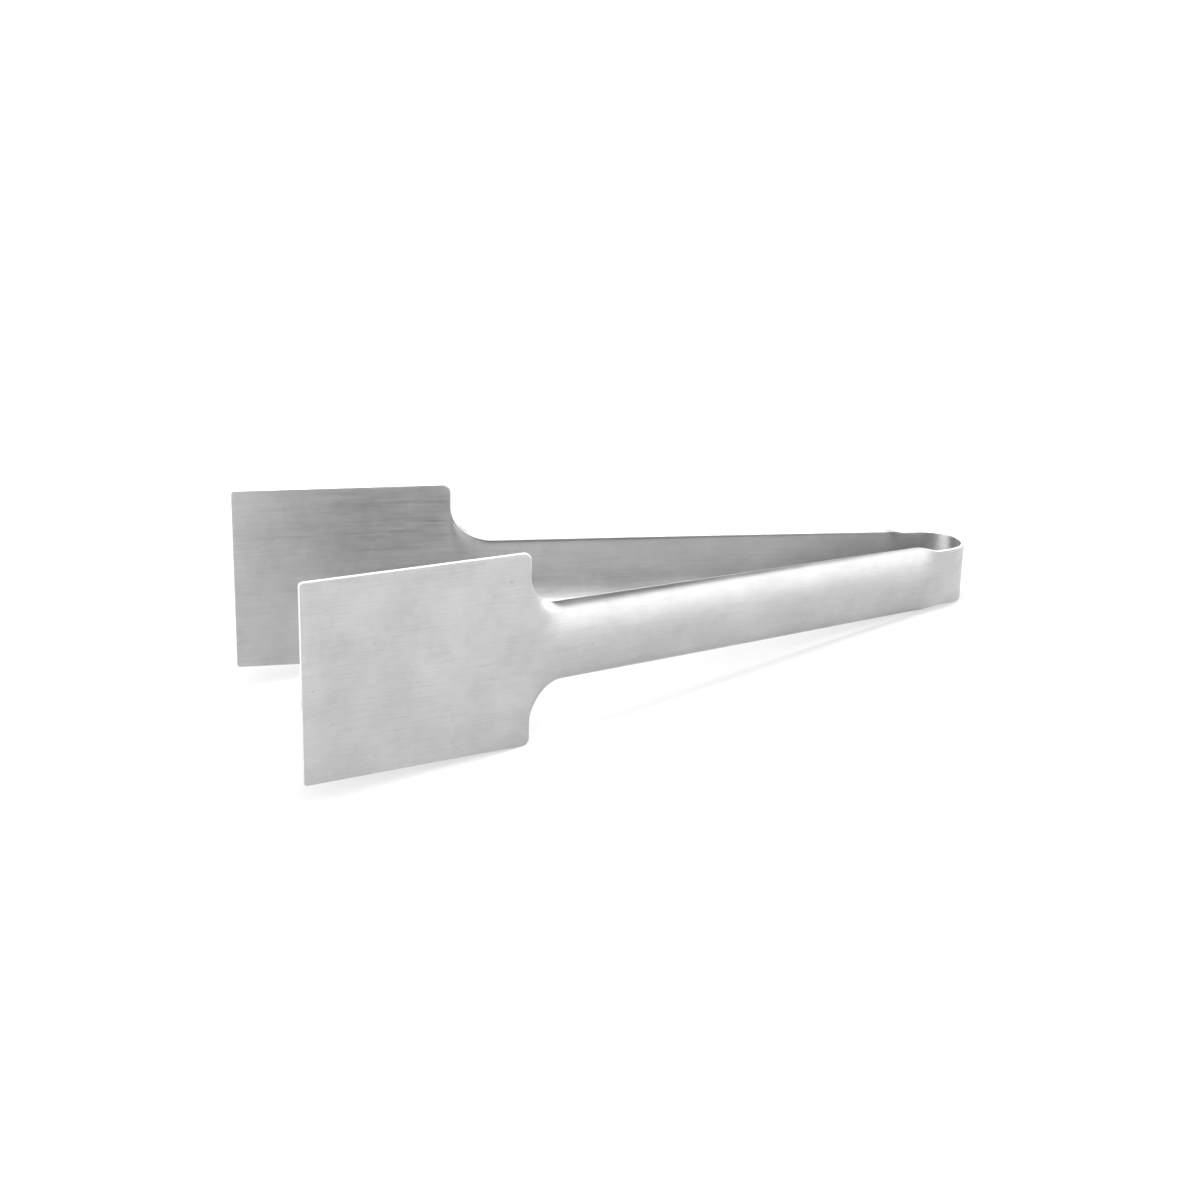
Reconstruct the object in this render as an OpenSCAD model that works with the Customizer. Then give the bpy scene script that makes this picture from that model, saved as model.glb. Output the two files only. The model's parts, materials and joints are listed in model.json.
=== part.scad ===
// One-piece spring tongs for cakes and sandwiches: a flat bow of spring steel,
// two channel-shaped arms and two flat rectangular blades, all of one sheet.
// The tongs lie along X with the bow at +X. They stand on the rear corners of
// the blades and the heel of the bow, so their centre plane slopes down to the bow.

/* [Overall] */
// Length along the centre line, from blade tips to the outside of the bow
overall_length = 240; // [200:1:300]
// Thickness of the sheet
sheet = 1; // [0.6:0.1:1.4]

/* [Blades] */
// Length of each blade
blade_length = 71; // [50:1:90]
// Height of each blade
blade_height = 60; // [48:1:80]
// Angle of each blade to the centre line, in degrees
blade_angle = 8.3; // [2:0.1:10]
// Corner radius at the blade's tip
tip_corner_r = 1.2; // [0.5:0.1:6]
// Corner radius at the blade's rear edge
rear_corner_r = 2.4; // [0.5:0.1:6]

/* [Arms] */
// Angle of each arm to the centre line, in degrees
arm_angle = 10.6; // [8:0.1:14]
// Radius of the arm's crown across its width
crown_r = 24; // [18:0.5:32]
// Half of the angle that the crown covers, in degrees
crown_angle = 23.2; // [18:0.1:28]
// Radius where the crown turns into a flange
flange_r = 5; // [4:0.1:7]
// Depth of the channel at the bow end, over the sheet
heel_depth = 3.4; // [2.8:0.1:4.2]
// Depth of the channel at the blade end, over the sheet
shoulder_depth = 5; // [4:0.1:6]

/* [Bow] */
// Radius of the bow, to the middle of the sheet
bow_r = 11.3; // [8:0.1:16]
// Width of the flat strip that forms the bow
strip_width = 19.2; // [14:0.1:24]
// Length of flat strip between the bow and the heel
leg_length = 5; // [3:0.5:12]
// Length over which the flat strip turns into the channel
heel_length = 8.5; // [6:0.5:16]

/* [Shoulders] */
// Length over which the channel flattens into the blade
shoulder_length = 13; // [11:0.5:24]
// Fillet between the arm's edge and the blade's rear edge
fillet_r = 9; // [5:0.5:10]

/* [Hidden] */
$fn = 96;
steel = [0.74, 0.75, 0.76];
half_sheet = sheet / 2;
half_strip = strip_width / 2;
half_blade = blade_height / 2;
// Points across half of a lofted section, and sections along a loft
half_points = 14;
heel_steps = 8;
shoulder_steps = 12;

// Channel section: a wide crown arc and two tight flange arcs, tangent to it.
// n runs outward from the crown, z runs along the width.
rad = 180 / PI;
crown_z = crown_r * sin(crown_angle);
crown_sag = crown_r * (1 - cos(crown_angle));
crown_w = crown_r * crown_angle / rad;
flange_z = crown_z - flange_r * sin(crown_angle);
flange_n = -crown_sag - flange_r * cos(crown_angle);
// Depth of the flange's edge behind the middle of the crown's sheet
heel_cut = heel_depth - half_sheet;
shoulder_cut = shoulder_depth - half_sheet;

// Angle at which a flange arc of radius r reaches a cut, and its developed width
function cut_angle(r, cut) = acos((-flange_n - cut) / r);
function cut_width(r, cut) = crown_w + flange_r * (cut_angle(r, cut) - crown_angle) / rad;
outer_r = flange_r + half_sheet;
inner_r = flange_r - half_sheet;

// Turn of the sheet at developed width w, with the forming done to a share k
function turn(w, k) =
    k * (w < crown_w ? w / crown_r : crown_w / crown_r + (w - crown_w) / flange_r) * rad;
// Middle of the sheet at developed width w
function mid_n(w, k) =
    w < crown_w
    ? -crown_r / k * (1 - cos(turn(w, k)))
    : mid_n(crown_w * 0.999999, k) - flange_r / k * (cos(turn(crown_w, k)) - cos(turn(w, k)));
function mid_z(w, k) =
    w < crown_w
    ? crown_r / k * sin(turn(w, k))
    : mid_z(crown_w * 0.999999, k) + flange_r / k * (sin(turn(w, k)) - sin(turn(crown_w, k)));
// Point on the face that lies at offset h from the middle, on side up = 1 or -1
function face_point(w, k, h, up) = [
    mid_n(w, k) + h * cos(turn(w, k)),
    up * (mid_z(w, k) + h * sin(turn(w, k)))
];
// Closed outline of the sheet: outer face upwards, inner face back down
function section(outer_w, inner_w, k) = concat(
    [for (i = [half_points:-1:1]) face_point(outer_w * i / half_points, k, half_sheet, -1)],
    [for (i = [0:half_points]) face_point(outer_w * i / half_points, k, half_sheet, 1)],
    [for (i = [half_points:-1:1]) face_point(inner_w * i / half_points, k, -half_sheet, 1)],
    [for (i = [0:half_points]) face_point(inner_w * i / half_points, k, -half_sheet, -1)]
);
function ease(u) = u * u * (3 - 2 * u);
function mix(a, b, u) = a + (b - a) * u;
// The least share of forming, which stands for a flat sheet
flat = 0.0001;

// Plan of the left side: the arm leaves the bow at its tangent point, and the
// shoulder turns from the arm's angle to the blade's along an arc.
tangent = [bow_r * sin(arm_angle), -bow_r * cos(arm_angle)];
function heading(a) = [-cos(a), -sin(a)];
function outward(a) = [sin(a), -cos(a)];
shoulder_turn = blade_angle - arm_angle;
function shoulder_chord(u) =
    let (half_turn = shoulder_turn * u / 2)
    shoulder_length * u * (abs(half_turn) < 0.001 ? 1 : sin(half_turn) / (half_turn / rad));
function along_shoulder(u) = shoulder_chord(u) * heading(arm_angle + shoulder_turn * u / 2);

// The arm's length makes up the overall length
reach = overall_length - bow_r - half_sheet + tangent[0] + along_shoulder(1)[0]
    - blade_length * cos(blade_angle) - half_sheet * sin(blade_angle);
arm_end = reach / cos(arm_angle);
arm_start = leg_length + heel_length;
shoulder_start = tangent + arm_end * heading(arm_angle);
blade_start = shoulder_start + along_shoulder(1);

// Resting slope: the line under the blade's rear corner that meets the bow's heel
corner_centre = [
    blade_start[0] - rear_corner_r * cos(blade_angle) + half_sheet * sin(blade_angle),
    rear_corner_r - half_blade
];
bow_heel = [bow_r + half_sheet, -half_strip];
corner_to_heel = bow_heel - corner_centre;
rest_slope = atan2(corner_to_heel[1], corner_to_heel[0]) + asin(rear_corner_r / norm(corner_to_heel));
lift = bow_heel[0] * sin(rest_slope) - bow_heel[1] * cos(rest_slope);
// Ends of the part along X once it rests, which centre it on the origin
bow_end_x = bow_heel[0] * cos(rest_slope) + half_strip * sin(rest_slope);
tip_centre = [
    bow_r + half_sheet - overall_length + tip_corner_r * cos(blade_angle),
    tip_corner_r - half_blade
];
tip_end_x = tip_centre[0] * cos(rest_slope) + tip_centre[1] * sin(rest_slope)
    - tip_corner_r * norm([cos(rest_slope) * cos(blade_angle), sin(rest_slope)]);
centre_x = -(bow_end_x + tip_end_x) / 2;

// Sets the tongs down on their three resting points
module at_rest() {
    translate([centre_x, 0, lift])
        rotate([0, rest_slope, 0])
            children();
}

// Draws a left-hand piece, or its mirror image for the right hand
module on_side(side) {
    color(steel)
        at_rest()
            if (side == "left") children();
            else mirror([0, 1, 0]) children();
}

// Frame with X outward, Y up the width and Z along the left arm
module along_arm(start) {
    translate([tangent[0], tangent[1], 0])
        rotate([90, 0, arm_angle - 90])
            translate([0, 0, start])
                children();
}

// Solid skin over a list of sections. Each end is closed by pairs of triangles
// that join the outer face's points to the inner face's.
module loft(rings) {
    count = len(rings[0]);
    last = (len(rings) - 1) * count;
    polyhedron(
        points = [for (ring = rings) each ring],
        faces = concat(
            [for (i = [0:count / 2 - 2])
                let (j = count - 1 - i)
                each [[i, i + 1, j], [i + 1, j - 1, j]]],
            [for (start = [0:count:last - count], i = [0:count - 1])
                let (a = start + i, b = start + (i + 1) % count)
                each [[a, a + count, b], [b, a + count, b + count]]],
            [for (i = [0:count / 2 - 2])
                let (j = count - 1 - i)
                each [[last + i, last + j, last + i + 1], [last + i + 1, last + j, last + j - 1]]]
        )
    );
}

// Flat strip bent to the bow, from one arm's tangent to the other's
module bow() {
    color(steel)
        at_rest()
            rotate([0, 0, arm_angle - 90])
                rotate_extrude(angle = 180 - 2 * arm_angle)
                    translate([bow_r - half_sheet, -half_strip])
                        square([sheet, strip_width]);
}

// Flat strip between the bow and the heel
module leg(side) {
    on_side(side)
        along_arm(0)
            translate([-half_sheet, -half_strip, 0])
                cube([sheet, strip_width, leg_length]);
}

// Flat strip widening and curling into the channel
module heel(side) {
    outer_w = cut_width(outer_r, heel_cut);
    inner_w = cut_width(inner_r, heel_cut);
    rings = [for (j = [0:heel_steps])
        let (u = j / heel_steps, k = max(flat, ease(u)))
        [for (p = section(mix(half_strip, outer_w, ease(u)), mix(half_strip, inner_w, ease(u)), k))
            [p[0], p[1], u * heel_length]]];
    on_side(side)
        along_arm(leg_length)
            loft(rings);
}

// Everything inside the channel's face that lies at offset h from the middle
module channel_face(h) {
    reach_r = crown_r + h;
    for (up = [-1, 1])
        translate([flange_n, up * flange_z])
            circle(r = flange_r + h);
    translate([-crown_r, 0])
        intersection() {
            circle(r = reach_r);
            polygon([[0, 0],
                [2 * crown_r, -2 * crown_r * tan(crown_angle)],
                [2 * crown_r, 2 * crown_r * tan(crown_angle)]]);
        }
}

// Channel section with deep flanges, before their edges are trimmed
module channel() {
    difference() {
        channel_face(half_sheet);
        channel_face(-half_sheet);
    }
}

// Channel with flange edges that deepen from the heel to the shoulder
module arm(side) {
    arm_length = arm_end - arm_start;
    far = 2 * crown_r;
    on_side(side)
        along_arm(arm_start)
            intersection() {
                linear_extrude(arm_length)
                    channel();
                translate([0, crown_r, 0])
                    rotate([90, 0, 0])
                        linear_extrude(far)
                            polygon([[-heel_cut, 0], [far, 0], [far, arm_length],
                                [-shoulder_cut, arm_length]]);
            }
}

// Channel flattening into the blade, while its edge follows the fillet
module shoulder(side) {
    outer_w = cut_width(outer_r, shoulder_cut);
    inner_w = cut_width(inner_r, shoulder_cut);
    mid_w = cut_width(flange_r, shoulder_cut);
    fillet_u = fillet_r / shoulder_length;
    // Stations close up towards the blade, where the fillet turns square to the arm
    shares = [for (j = [0:shoulder_steps])
        j < 4
        ? (1 - fillet_u) * j / 4
        : 1 - fillet_u * (1 - sin(90 * (j - 4) / (shoulder_steps - 4)))];
    rings = [for (u = shares)
        let (
            turned = asin(min(1, max(0, (u - 1 + fillet_u) / fillet_u))),
            grown = fillet_r * (1 - cos(turned)),
            a = arm_angle + shoulder_turn * u,
            centre = along_shoulder(u),
            even_w = mid_w + grown,
            lip = 1 - ease(u)
        )
        [for (p = section(even_w + (outer_w - mid_w) * lip, even_w + (inner_w - mid_w) * lip,
                max(flat, 1 - ease(u))))
            [centre[0] + p[0] * outward(a)[0], centre[1] + p[0] * outward(a)[1], p[1]]]];
    on_side(side)
        translate([shoulder_start[0], shoulder_start[1], 0])
            loft(rings);
}

// Rectangle with its first corner pair rounded by r0 and its last by r1
module rounded_plate(length, height, r0, r1) {
    translate([r0, -height / 2])
        square([length - r0 - r1, height]);
    translate([0, r0 - height / 2])
        square([r0, height - 2 * r0]);
    translate([length - r1, r1 - height / 2])
        square([r1, height - 2 * r1]);
    for (up = [-1, 1]) {
        translate([r0, up * (height / 2 - r0)])
            circle(r = r0);
        translate([length - r1, up * (height / 2 - r1)])
            circle(r = r1);
    }
}

// Flat rectangular plate that holds the food
module blade(side) {
    on_side(side)
        translate([blade_start[0], blade_start[1], 0])
            rotate([90, 0, 180 + blade_angle])
                translate([0, 0, -half_sheet])
                    linear_extrude(sheet)
                        rounded_plate(blade_length, blade_height, rear_corner_r, tip_corner_r);
}

bow();
for (side = ["left", "right"]) {
    leg(side);
    heel(side);
    arm(side);
    shoulder(side);
    blade(side);
}
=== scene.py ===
import json
import math

import bpy
from mathutils import Matrix, Vector


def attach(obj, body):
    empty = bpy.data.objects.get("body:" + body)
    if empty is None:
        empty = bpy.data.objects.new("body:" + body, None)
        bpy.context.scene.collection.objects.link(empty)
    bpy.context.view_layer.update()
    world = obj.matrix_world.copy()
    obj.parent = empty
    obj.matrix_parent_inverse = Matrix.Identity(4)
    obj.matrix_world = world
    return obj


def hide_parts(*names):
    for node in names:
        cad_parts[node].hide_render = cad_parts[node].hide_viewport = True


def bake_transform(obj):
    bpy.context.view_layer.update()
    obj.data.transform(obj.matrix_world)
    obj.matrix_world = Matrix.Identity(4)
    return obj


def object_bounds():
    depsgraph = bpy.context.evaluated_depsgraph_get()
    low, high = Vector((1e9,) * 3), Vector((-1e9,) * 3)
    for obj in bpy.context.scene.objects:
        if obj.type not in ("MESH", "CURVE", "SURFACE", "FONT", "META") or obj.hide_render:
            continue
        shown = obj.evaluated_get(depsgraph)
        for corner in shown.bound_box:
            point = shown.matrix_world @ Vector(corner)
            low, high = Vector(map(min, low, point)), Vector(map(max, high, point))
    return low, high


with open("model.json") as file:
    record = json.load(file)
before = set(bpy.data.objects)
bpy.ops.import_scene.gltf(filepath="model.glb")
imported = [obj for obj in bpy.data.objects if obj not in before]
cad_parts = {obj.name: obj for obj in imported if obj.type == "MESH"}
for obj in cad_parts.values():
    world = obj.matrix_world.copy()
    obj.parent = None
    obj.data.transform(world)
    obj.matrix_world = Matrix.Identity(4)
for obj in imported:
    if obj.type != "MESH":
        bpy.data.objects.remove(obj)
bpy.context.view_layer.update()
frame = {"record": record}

record = frame["record"]
mounts = {m["name"]: m for m in record["mounts"]}
joints = {j["name"]: j for j in record["behaviour"]["joints"]}

# Sheet and blank, in metres
SHEET = 0.001
STRIP_WIDTH = 0.0192
LEG = 0.005
HEEL = 0.0085
SHOULDER = 0.013
FILLET = 0.009
BLADE_LENGTH = 0.071
BLADE_HEIGHT = 0.060
REAR_CORNER = 0.0024
TIP_CORNER = 0.0012
CROWN_R = 0.024
CROWN_ANGLE = math.radians(23.2)
FLANGE_R = 0.005
HEEL_DEPTH = 0.0034
SHOULDER_DEPTH = 0.005
# Width of the band of faces that follows the outline, and the rounding of the cut edge
BAND = 0.001
DEBURR = 0.0002
ACROSS = 18

# The tongs' own frame: the bow's centre, X out through the bow, Z along its width
loop_centre = Vector(mounts["hang_loop"]["pos_m"])
width_way = Vector(mounts["hang_loop"]["axis"]).normalized()
side_way = Vector((0, 1, 0))
bow_way = side_way.cross(width_way)
TONGS = Matrix((bow_way, side_way, width_way)).transposed()


def in_tongs(point):
    """A point of the row frame, in the tongs' own frame"""
    return TONGS.transposed() @ (Vector(point) - loop_centre)


hinge = in_tongs(joints["left_squeeze"]["pos_m"])
BOW_R = math.hypot(hinge.x, hinge.y)
ARM_ANGLE = math.asin(hinge.x / BOW_R)
grip_face = in_tongs(mounts["left_grip_face"]["pos_m"])
grip_way = TONGS.transposed() @ Vector(mounts["left_grip_face"]["axis"])
BLADE_ANGLE = math.atan2(-grip_way.x, grip_way.y)


def heading(angle):
    return Vector((-math.cos(angle), -math.sin(angle)))


def outward(angle):
    return Vector((math.sin(angle), -math.cos(angle)))


def along_shoulder(share):
    """The shoulder's centre line, an arc that turns from the arm's angle to the blade's"""
    half_turn = (BLADE_ANGLE - ARM_ANGLE) * share / 2
    chord = SHOULDER * share * (math.sin(half_turn) / half_turn if abs(half_turn) > 1e-6 else 1)
    return chord * heading(ARM_ANGLE + half_turn)


blade_middle = grip_face.xy + outward(BLADE_ANGLE) * SHEET / 2
blade_start = blade_middle - heading(BLADE_ANGLE) * BLADE_LENGTH / 2
shoulder_start = blade_start - along_shoulder(1)
tangent = hinge.xy

# Distances along the blank from the middle of the bow
BOW_END = BOW_R * (math.pi / 2 - ARM_ANGLE)
LEG_END = BOW_END + LEG
HEEL_END = LEG_END + HEEL
ARM_END = BOW_END + (shoulder_start - tangent).length
BLADE_START = ARM_END + SHOULDER
TIP = BLADE_START + BLADE_LENGTH

# Channel section at full forming: a wide crown arc and two tight flange arcs
CROWN_W = CROWN_R * CROWN_ANGLE
FLANGE_N = -CROWN_R * (1 - math.cos(CROWN_ANGLE)) - FLANGE_R * math.cos(CROWN_ANGLE)


def channel_half_width(depth):
    """Developed half-width of the sheet that reaches a depth behind the crown"""
    edge_turn = math.acos((-FLANGE_N - depth + SHEET / 2) / FLANGE_R)
    return CROWN_W + FLANGE_R * (edge_turn - CROWN_ANGLE)


HEEL_W = channel_half_width(HEEL_DEPTH)
SHOULDER_W = channel_half_width(SHOULDER_DEPTH)


def ease(share):
    share = min(1, max(0, share))
    return share * share * (3 - 2 * share)


def section(across, forming):
    """Where the middle of the sheet lies at a developed width, for a share of forming"""
    if forming < 1e-4:
        return 0.0, across
    side, across = math.copysign(1, across), abs(across)
    crown = min(across, CROWN_W) / CROWN_R * forming
    n = -CROWN_R / forming * (1 - math.cos(crown))
    z = CROWN_R / forming * math.sin(crown)
    if across > CROWN_W:
        turn = crown + (across - CROWN_W) / FLANGE_R * forming
        n -= FLANGE_R / forming * (math.cos(crown) - math.cos(turn))
        z += FLANGE_R / forming * (math.sin(turn) - math.sin(crown))
    return n, side * z


def formed(along, across):
    """Where a point of the flat blank lies once it is bent and pressed; the left side is +"""
    side, along = math.copysign(1, along), abs(along)
    forming = ease((along - LEG_END) / HEEL) * (1 - ease((along - ARM_END) / SHOULDER))
    n, z = section(across, forming)
    if along < BOW_END:
        turn = along / BOW_R
        plan = Vector((math.cos(turn), -math.sin(turn))) * (BOW_R + n)
    elif along < ARM_END:
        plan = tangent + heading(ARM_ANGLE) * (along - BOW_END) + outward(ARM_ANGLE) * n
    elif along < BLADE_START:
        share = (along - ARM_END) / SHOULDER
        angle = ARM_ANGLE + (BLADE_ANGLE - ARM_ANGLE) * share
        plan = shoulder_start + along_shoulder(share) + outward(angle) * n
    else:
        plan = blade_start + heading(BLADE_ANGLE) * (along - BLADE_START)
    return loop_centre + TONGS @ Vector((plan.x, plan.y * side, z))


def strip_rows():
    """Straight rows across the blank, from the middle of the bow to the fillet"""
    rows = []
    for start, end, count in ((0, BOW_END, 28), (BOW_END, LEG_END, 6), (LEG_END, HEEL_END, 14),
                              (HEEL_END, ARM_END, 34), (ARM_END, BLADE_START - FILLET, 5)):
        for i in range(count):
            at = start + (end - start) * i / count
            grown = ease((at - LEG_END) / HEEL)
            width = STRIP_WIDTH / 2 + (HEEL_W - STRIP_WIDTH / 2) * grown
            if at > HEEL_END:
                depth = HEEL_DEPTH + (SHOULDER_DEPTH - HEEL_DEPTH) * min(
                    1, (at - HEEL_END) / (ARM_END - HEEL_END))
                width = channel_half_width(depth)
            rows.append([(at, (width - BAND) * j / (ACROSS - 1)) for j in range(ACROSS)]
                        + [(at, width)])
    return rows


def outline_row(edge, normal, centre_at):
    """A row from the centre line to a point on the outline, which it meets squarely"""
    band = (edge[0] - normal[0] * BAND, edge[1] - normal[1] * BAND)
    return [(centre_at + (band[0] - centre_at) * j / (ACROSS - 1), band[1] * j / (ACROSS - 1))
            for j in range(ACROSS)] + [edge]


def blade_rows():
    """Rows that fan round the fillet, the blade's rear corner, its long edge and its tip"""
    top = BLADE_HEIGHT / 2
    rows = []
    for i in range(12):
        turn = math.radians(7.5 * i)
        start = BLADE_START - FILLET
        edge = (start + FILLET * math.sin(turn), SHOULDER_W + FILLET * (1 - math.cos(turn)))
        rows.append(outline_row(edge, (-math.sin(turn), math.cos(turn)), start + 0.0009 * i))
    rear_end = SHOULDER_W + FILLET
    for i in range(3):
        edge = (BLADE_START, rear_end + (top - REAR_CORNER - rear_end) * i / 3)
        rows.append(outline_row(edge, (-1, 0), BLADE_START + 0.0018 + 0.0012 * i))
    for i in range(8):
        turn = math.radians(90 * i / 8)
        way = (-math.cos(turn), math.sin(turn))
        edge = (BLADE_START + REAR_CORNER + REAR_CORNER * way[0],
                top - REAR_CORNER + REAR_CORNER * way[1])
        rows.append(outline_row(edge, way, BLADE_START + 0.0054 + 0.0004 * i))
    first, last = BLADE_START + REAR_CORNER, TIP - TIP_CORNER
    for i in range(22):
        at = first + (last - first) * i / 22
        centre = BLADE_START + 0.0088 + (last - BLADE_START - 0.0088) * i / 22
        rows.append(outline_row((at, top), (0, 1), centre))

    def tip_corner(degrees, radius):
        turn = math.radians(degrees)
        return (last + radius * math.sin(turn), top - TIP_CORNER + radius * math.cos(turn))

    for i in range(2):
        turn = math.radians(15 * i)
        rows.append(outline_row(tip_corner(15 * i, TIP_CORNER), (math.sin(turn), math.cos(turn)),
                                last + 0.0001 * i))
    front = [(top - TIP_CORNER) * j / (ACROSS - 3) for j in range(ACROSS - 2)]
    inset = TIP_CORNER - BAND
    rows.append([(TIP - BAND, w) for w in front]
                + [tip_corner(70, inset), tip_corner(45, inset), tip_corner(30, TIP_CORNER)])
    rows.append([(TIP, w) for w in front]
                + [tip_corner(75, TIP_CORNER), tip_corner(60, TIP_CORNER),
                   tip_corner(45, TIP_CORNER)])
    return rows


def only(piece):
    """Leaves one piece selected and active"""
    if bpy.context.mode != "OBJECT":
        bpy.ops.object.mode_set(mode="OBJECT")
    bpy.ops.object.select_all(action="DESELECT")
    piece.select_set(True)
    bpy.context.view_layer.objects.active = piece


def apply_modifier(piece, name, kind, **settings):
    modifier = piece.modifiers.new(name, kind)
    for key, value in settings.items():
        setattr(modifier, key, value)
    bpy.ops.object.modifier_apply(modifier=modifier.name)


def cut_blank():
    """Flat blank of the whole tongs, its edge on the outline, with its lie kept as UV"""
    rows = strip_rows() + blade_rows()
    last = len(rows) - 1
    bpy.ops.mesh.primitive_grid_add(x_subdivisions=2 * last, y_subdivisions=2 * ACROSS, size=2)
    blank = bpy.context.active_object
    blank.name = "tongs_sheet"
    mesh = blank.data
    for vertex in mesh.vertices:
        i = round(vertex.co.x * last)
        j = round(vertex.co.y * ACROSS)
        along, across = rows[abs(i)][abs(j)]
        vertex.co = (math.copysign(along, i), math.copysign(across, j), 0)
    lie = mesh.uv_layers.active or mesh.uv_layers.new(name="UVMap")
    lie.name = "UVMap"
    for loop in mesh.loops:
        lie.data[loop.index].uv = mesh.vertices[loop.vertex_index].co.xy
    return blank


def press(blank):
    """Bends the bow, raises the channels and gives the sheet its thickness and rounded edges, whose
    finish is painted lighter as a highlight
    """
    for vertex in blank.data.vertices:
        vertex.co = formed(vertex.co.x, vertex.co.y)
    blank.data.update()
    for finish in (inner_brush, edge_with_painted_highlight, outer_brush):
        blank.data.materials.append(finish)
    only(blank)
    bpy.ops.object.shade_smooth()
    # The rim and bevel faces take the edge finish, whose lighter colour is a painted highlight
    apply_modifier(blank, "thickness", "SOLIDIFY", thickness=SHEET, offset=0,
                   use_even_offset=True, use_quality_normals=True,
                   material_offset=2, material_offset_rim=1)
    apply_modifier(blank, "deburr", "BEVEL", width=DEBURR, segments=2, limit_method="ANGLE",
                   angle_limit=math.radians(50), material=1)
    apply_modifier(blank, "even_shading", "WEIGHTED_NORMAL", weight=50, keep_sharp=False)
    keep_shading(blank.data)
    return blank


def keep_shading(mesh):
    """Writes each vertex's shading normal to an attribute, which outlives the cutting apart"""
    normals = [Vector() for _ in mesh.vertices]
    for loop in mesh.loops:
        normals[loop.vertex_index] += mesh.corner_normals[loop.index].vector
    shading = mesh.attributes.new("shading", "FLOAT_VECTOR", "POINT")
    for vertex, normal in zip(mesh.vertices, normals):
        shading.data[vertex.index].vector = normal.normalized()


def part_off(sheet, name, start, end):
    """Separates the faces between two distances along the blank as a piece of their own"""
    only(sheet)
    mesh = sheet.data
    lie = mesh.uv_layers["UVMap"].data
    picked = []
    for face in mesh.polygons:
        middle = sum(lie[i].uv.x for i in face.loop_indices) / len(face.loop_indices)
        picked.append(start < middle < end)
    mesh.vertices.foreach_set("select", [False] * len(mesh.vertices))
    mesh.edges.foreach_set("select", [False] * len(mesh.edges))
    mesh.polygons.foreach_set("select", picked)
    bpy.ops.object.mode_set(mode="EDIT")
    bpy.ops.mesh.select_mode(type="FACE")
    bpy.ops.mesh.separate(type="SELECTED")
    bpy.ops.object.mode_set(mode="OBJECT")
    piece = next(o for o in bpy.context.selected_objects if o != sheet)
    piece.name = piece.data.name = name
    return piece


def close_ends(piece):
    """Caps the cut ends and shades the piece as it was in the whole sheet"""
    only(piece)
    mesh = piece.data
    bpy.ops.object.mode_set(mode="EDIT")
    bpy.ops.mesh.select_mode(type="EDGE")
    bpy.ops.mesh.select_all(action="DESELECT")
    bpy.ops.mesh.select_non_manifold()
    bpy.ops.mesh.mark_sharp()
    bpy.ops.mesh.fill_holes(sides=0)
    bpy.ops.object.mode_set(mode="OBJECT")
    shading = [value.vector.copy() for value in mesh.attributes["shading"].data]
    mesh.attributes.remove(mesh.attributes["shading"])
    normals = [Vector()] * len(mesh.loops)
    for face in mesh.polygons:
        face.use_smooth = True
        around = [shading[v] for v in face.vertices]
        capped = abs(sum(around, Vector()).normalized().dot(face.normal)) < 0.5
        for loop, normal in zip(face.loop_indices, around):
            normals[loop] = face.normal.copy() if capped else normal
    mesh.normals_split_custom_set(normals)
    return piece


# Finishes


def steel(name, colour, roughness, anisotropy):
    """A metal with its own lie along the sheet, and the nodes that its finish starts from"""
    finish = bpy.data.materials.new(name)
    finish.use_nodes = True
    tree = finish.node_tree
    shader = tree.nodes["Principled BSDF"]
    shader.inputs["Base Color"].default_value = (*colour, 1)
    shader.inputs["Metallic"].default_value = 1
    shader.inputs["Roughness"].default_value = roughness
    shader.inputs["Anisotropic"].default_value = anisotropy
    shader.inputs["Anisotropic Rotation"].default_value = 0.25
    lie = tree.nodes.new("ShaderNodeUVMap")
    lie.uv_map = "UVMap"
    tangent_way = tree.nodes.new("ShaderNodeTangent")
    tangent_way.direction_type = "UV_MAP"
    tangent_way.uv_map = "UVMap"
    tree.links.new(tangent_way.outputs["Tangent"], shader.inputs["Tangent"])
    return finish, tree, shader, lie


def grain(tree, coordinates, along, across, shift, detail=3):
    """Noise drawn out along the sheet; along and across are its sizes in metres"""
    stretch = tree.nodes.new("ShaderNodeMapping")
    stretch.inputs["Scale"].default_value = (1 / along, 1 / across, 1 / across)
    stretch.inputs["Location"].default_value = (shift, shift * 0.7, shift * 0.3)
    noise = tree.nodes.new("ShaderNodeTexNoise")
    noise.inputs["Scale"].default_value = 1
    noise.inputs["Detail"].default_value = detail
    noise.inputs["Roughness"].default_value = 0.6
    tree.links.new(coordinates, stretch.inputs["Vector"])
    tree.links.new(stretch.outputs["Vector"], noise.inputs["Vector"])
    return noise.outputs["Fac"]


def spread(tree, value, low, high, start=0.3, end=0.7):
    """The value's middle range, spread between two numbers"""
    step = tree.nodes.new("ShaderNodeMapRange")
    step.inputs["From Min"].default_value = start
    step.inputs["From Max"].default_value = end
    step.inputs["To Min"].default_value = low
    step.inputs["To Max"].default_value = high
    tree.links.new(value, step.inputs["Value"])
    return step.outputs["Result"]


def combine(tree, operation, first, second):
    step = tree.nodes.new("ShaderNodeMath")
    step.operation = operation
    tree.links.new(first, step.inputs[0])
    if isinstance(second, (int, float)):
        step.inputs[1].default_value = second
    else:
        tree.links.new(second, step.inputs[1])
    return step.outputs["Value"]


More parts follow.
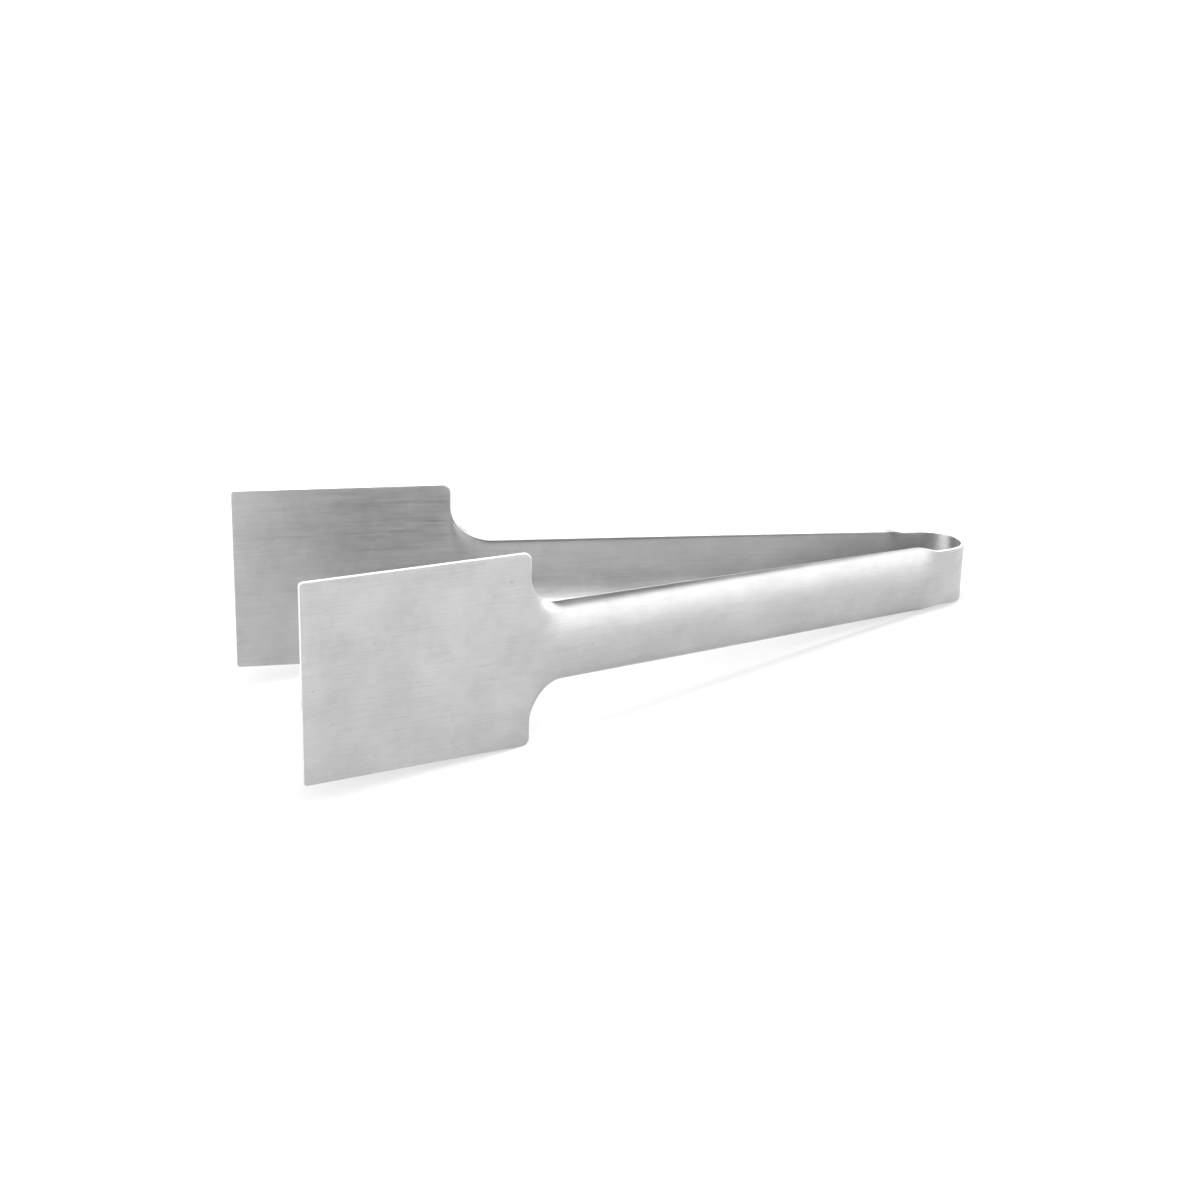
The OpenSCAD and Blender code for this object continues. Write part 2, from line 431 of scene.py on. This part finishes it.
def brushed_steel(name, shift, colour=(0.4, 0.4, 0.4), roughness=0.36):
    """Stainless steel brushed along the sheet, with faint clouds and a few pits"""
    finish, tree, shader, lie = steel(name, colour, roughness, 0.55)
    place = tree.nodes.new("ShaderNodeTexCoord")
    hair = grain(tree, lie.outputs["UV"], 0.009, 0.00016, shift)
    strand = grain(tree, lie.outputs["UV"], 0.022, 0.00055, shift + 7)
    cloud = grain(tree, place.outputs["Object"], 0.016, 0.016, shift + 3, detail=5)
    bloom = grain(tree, place.outputs["Object"], 0.0035, 0.0035, shift + 5)
    pit = grain(tree, place.outputs["Object"], 0.0009, 0.0009, shift + 9, detail=0)
    lines = combine(tree, "ADD", spread(tree, hair, 0.935, 1.065), spread(tree, strand, -0.045, 0.045))
    patches = combine(tree, "ADD", spread(tree, cloud, 0.92, 1.08), spread(tree, bloom, -0.035, 0.035))
    marked = combine(tree, "MULTIPLY", patches, spread(tree, pit, 1, 0.8, start=0.83, end=0.87))
    tone = combine(tree, "MULTIPLY", lines, marked)
    tint = tree.nodes.new("ShaderNodeVectorMath")
    tint.operation = "SCALE"
    tint.inputs[0].default_value = colour
    tree.links.new(tone, tint.inputs["Scale"])
    tree.links.new(tint.outputs["Vector"], shader.inputs["Base Color"])
    gloss = combine(tree, "ADD", spread(tree, strand, roughness - 0.035, roughness + 0.035),
                    spread(tree, cloud, -0.02, 0.02))
    tree.links.new(gloss, shader.inputs["Roughness"])
    scratch = tree.nodes.new("ShaderNodeBump")
    scratch.inputs["Strength"].default_value = 0.35
    scratch.inputs["Distance"].default_value = 0.00001
    tree.links.new(hair, scratch.inputs["Height"])
    tree.links.new(scratch.outputs["Normal"], shader.inputs["Normal"])
    return finish


def painted_highlight_edge(name):
    """The sheared edge, tumbled smooth, with its colour painted lighter than the faces as a highlight
    along the edges
    """
    # Painted highlight: the edge colour is lighter than the faces' so the edges show as bright lines
    colour = (0.7, 0.7, 0.7)
    finish, tree, shader, lie = steel(name, colour, 0.42, 0)
    place = tree.nodes.new("ShaderNodeTexCoord")
    nick = grain(tree, place.outputs["Object"], 0.0009, 0.0009, 11, detail=4)
    tree.links.new(spread(tree, nick, 0.36, 0.48), shader.inputs["Roughness"])
    tint = tree.nodes.new("ShaderNodeVectorMath")
    tint.operation = "SCALE"
    tint.inputs[0].default_value = colour
    tree.links.new(spread(tree, nick, 0.96, 1.04), tint.inputs["Scale"])
    tree.links.new(tint.outputs["Vector"], shader.inputs["Base Color"])
    return finish


def painted_glow_floor():
    """The floor, pale paper that glows more strongly towards its far edge: painted light that keeps
    the far floor white where the lamps fall off and faintly lifts the shadows near the tongs
    """
    paper = bpy.data.materials.new("painted_glow_floor")
    paper.use_nodes = True
    tree = paper.node_tree
    shader = tree.nodes["Principled BSDF"]
    shader.inputs["Base Color"].default_value = (0.6, 0.6, 0.6, 1)
    shader.inputs["Roughness"].default_value = 0.9
    shader.inputs["Specular IOR Level"].default_value = 0.2
    shader.inputs["Emission Color"].default_value = (1, 1, 1, 1)
    place = tree.nodes.new("ShaderNodeTexCoord")
    far = tree.nodes.new("ShaderNodeVectorMath")
    far.operation = "LENGTH"
    tree.links.new(place.outputs["Object"], far.inputs[0])
    # Painted light: the glow rises from 0.1 within 0.42 m of the middle to 1.05 beyond 1.1 m
    tree.links.new(spread(tree, far.outputs["Value"], 0.1, 1.05, start=0.42, end=1.1),
                   shader.inputs["Emission Strength"])
    return paper


def studio_tent():
    """A tent that is white round the horizon and grey overhead"""
    tent = bpy.data.worlds.new("studio_tent")
    tent.use_nodes = True
    tree = tent.node_tree
    place = tree.nodes.new("ShaderNodeTexCoord")
    parts = tree.nodes.new("ShaderNodeSeparateXYZ")
    tree.links.new(place.outputs["Generated"], parts.inputs["Vector"])
    tree.links.new(spread(tree, parts.outputs["Z"], 1.0, 0.15, start=0.12, end=0.35),
                   tree.nodes["Background"].inputs["Strength"])
    tree.nodes["Background"].inputs["Color"].default_value = (1, 1, 1, 1)
    bpy.context.scene.world = tent


outer_brush = brushed_steel("outer_brushed_steel", 0)
inner_brush = brushed_steel("inner_brushed_steel", 31)
# The edge finish is painted lighter than the faces, as a highlight along the edges
edge_with_painted_highlight = painted_highlight_edge("sheet_edge_painted_highlight")

# The sheet, pressed whole and then parted into its regions

bpy.ops.object.select_all(action="DESELECT")
tongs_sheet = press(cut_blank())
regions = (
    ("bow_half", 0, BOW_END, ["bow"]),
    ("leg_strip", BOW_END, LEG_END, ["leg"]),
    ("heel_sheet", LEG_END, HEEL_END, ["heel"]),
    ("arm_channel", HEEL_END, ARM_END, ["arm"]),
    ("blade_plate", ARM_END, TIP, ["shoulder", "blade"]),
)
for side, sign in (("left", 1), ("right", -1)):
    for region, start, end, stands_for in regions:
        ends = sorted((sign * start, sign * end))
        if (side, region) == ("right", "blade_plate"):
            piece = tongs_sheet
            piece.name = piece.data.name = f"{side}_{region}"
        else:
            piece = part_off(tongs_sheet, f"{side}_{region}", *ends)
        close_ends(piece)
        if region in ("bow_half", "leg_strip"):
            formed(sign * LEG_END, 0)
            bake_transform(piece)
        else:
            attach(piece, f"{side}_side")
        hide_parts(*[n if n == "bow" else f"{side}_{n}" for n in stands_for])

# Studio

lowest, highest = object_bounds()
middle = (lowest + highest) / 2

bpy.ops.mesh.primitive_circle_add(vertices=96, radius=40, fill_type="NGON",
                                  location=(0, 0, lowest.z - 0.00002))
floor = bpy.context.active_object
floor.name = "studio_floor"
floor.data.materials.append(painted_glow_floor())
studio_tent()


def soft_light(name, azimuth, elevation, width, height, power, distance=1.2):
    """A softbox that faces the tongs; azimuth 0 is in front and 90 to the right"""
    around, above = math.radians(azimuth), math.radians(elevation)
    way = Vector((math.sin(around) * math.cos(above), -math.cos(around) * math.cos(above),
                  math.sin(above)))
    bpy.ops.object.light_add(type="AREA", location=middle + way * distance)
    lamp = bpy.context.active_object
    lamp.name = name
    lamp.rotation_euler = (-way).to_track_quat("-Z", "Y").to_euler()
    lamp.data.shape = "RECTANGLE"
    lamp.data.size = width
    lamp.data.size_y = height
    lamp.data.energy = power
    return lamp


soft_light("front_low_softbox", 36, 9, 1.7, 0.3, 3.3)
soft_light("front_softbox", 46, 27, 1.5, 0.5, 6.6)
soft_light("front_high_softbox", -20, 35, 0.9, 0.5, 4.2)
soft_light("left_low_softbox", -78, 12, 1.1, 0.5, 7.0)
soft_light("right_low_softbox", 88, 9, 0.6, 0.3, 4.0)
soft_light("back_softbox", 175, 18, 1.9, 0.5, 13.5)
soft_light("top_softbox", 0, 89.9, 0.8, 0.8, 14.5)
soft_light("high_softbox", 25, 60, 0.8, 0.6, 4.5)

bpy.ops.object.camera_add(location=(-0.19320, -0.52367, 0.22941),
                          rotation=[math.radians(a) for a in (69.6284, 4.8574, -21.0016)])
camera = bpy.context.active_object
camera.data.sensor_width = 36
camera.data.lens = 55.29
camera.data.clip_start = 0.01
bpy.context.scene.camera = camera
bpy.context.scene.view_settings.view_transform = "Standard"
